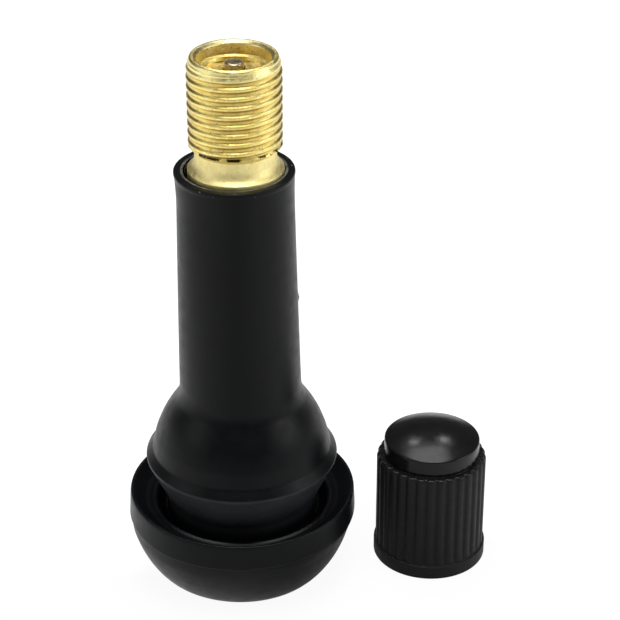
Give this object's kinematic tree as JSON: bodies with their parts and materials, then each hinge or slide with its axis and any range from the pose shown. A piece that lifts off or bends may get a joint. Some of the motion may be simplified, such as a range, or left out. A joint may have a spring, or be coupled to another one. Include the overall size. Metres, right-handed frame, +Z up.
{
  "type": "tyre valve",
  "caption": "Rubber-covered brass snap-in tyre valve with a threaded mouth, a screw-in spring core with a push pin, and a ribbed plastic dust cap standing beside it.",
  "frame": {"origin": "On the ground, midway across the footprint of the valve and the cap that stands beside it; the valve's axis is at x = -5.94 mm, y = 0 and the cap's at x = 10.96 mm, y = 0.43 mm", "axes": "+Z up along the valve's axis, out of its mouth; +X from the valve towards the cap; +Y across the two"},
  "size_m": [0.032, 0.02, 0.0485],
  "materials": {
    "body_rubber": "satin moulded black rubber",
    "stem_brass": "turned, with fine pits",
    "core_brass": "turned",
    "core_seal": "dark red soft seal",
    "spring_steel": "drawn wire",
    "pin_steel": "dull steel",
    "cap_plastic": "satin black moulded plastic"
  },
  "bodies": {
    "valve": {"rubber_body": "body_rubber", "brass_stem": "stem_brass"},
    "core_cartridge": {"core_barrel": "core_brass", "core_packing": "core_seal", "core_spring": "spring_steel"},
    "core_plug": {"core_plug": "core_brass"},
    "core_pin": {"core_pin": "pin_steel", "pin_cup": "core_brass", "seat_gasket": "core_seal"},
    "cap": {"cap": "cap_plastic"}
  },
  "joints": [
    {"name": "core_turn", "type": "hinge", "parent": "core_cartridge", "child": "core_plug", "pos_m": [-0.00594, 0, 0.0452], "axis": [0, 0, 1], "range_deg": [0, 2160]},
    {"name": "core_rise", "type": "slide", "parent": "valve", "child": "core_cartridge", "axis": [0, 0, 1], "range_m": [0, 0.00423]},
    {"name": "pin_press", "type": "slide", "parent": "core_cartridge", "child": "core_pin", "axis": [0, 0, -1], "range_m": [0, 0.0012], "stiffness_N_per_m": 600, "springref_m": -0.002, "deforming": ["core_spring"]},
    {"name": "cap_lift", "type": "slide", "parent": "valve", "child": "cap", "axis": [0, 0, 1], "range_m": [0, 0.05]}
  ],
  "couplings": [
    {"joint": "core_turn", "follows": "core_rise", "rad_per_m": 8905.3}
  ]
}
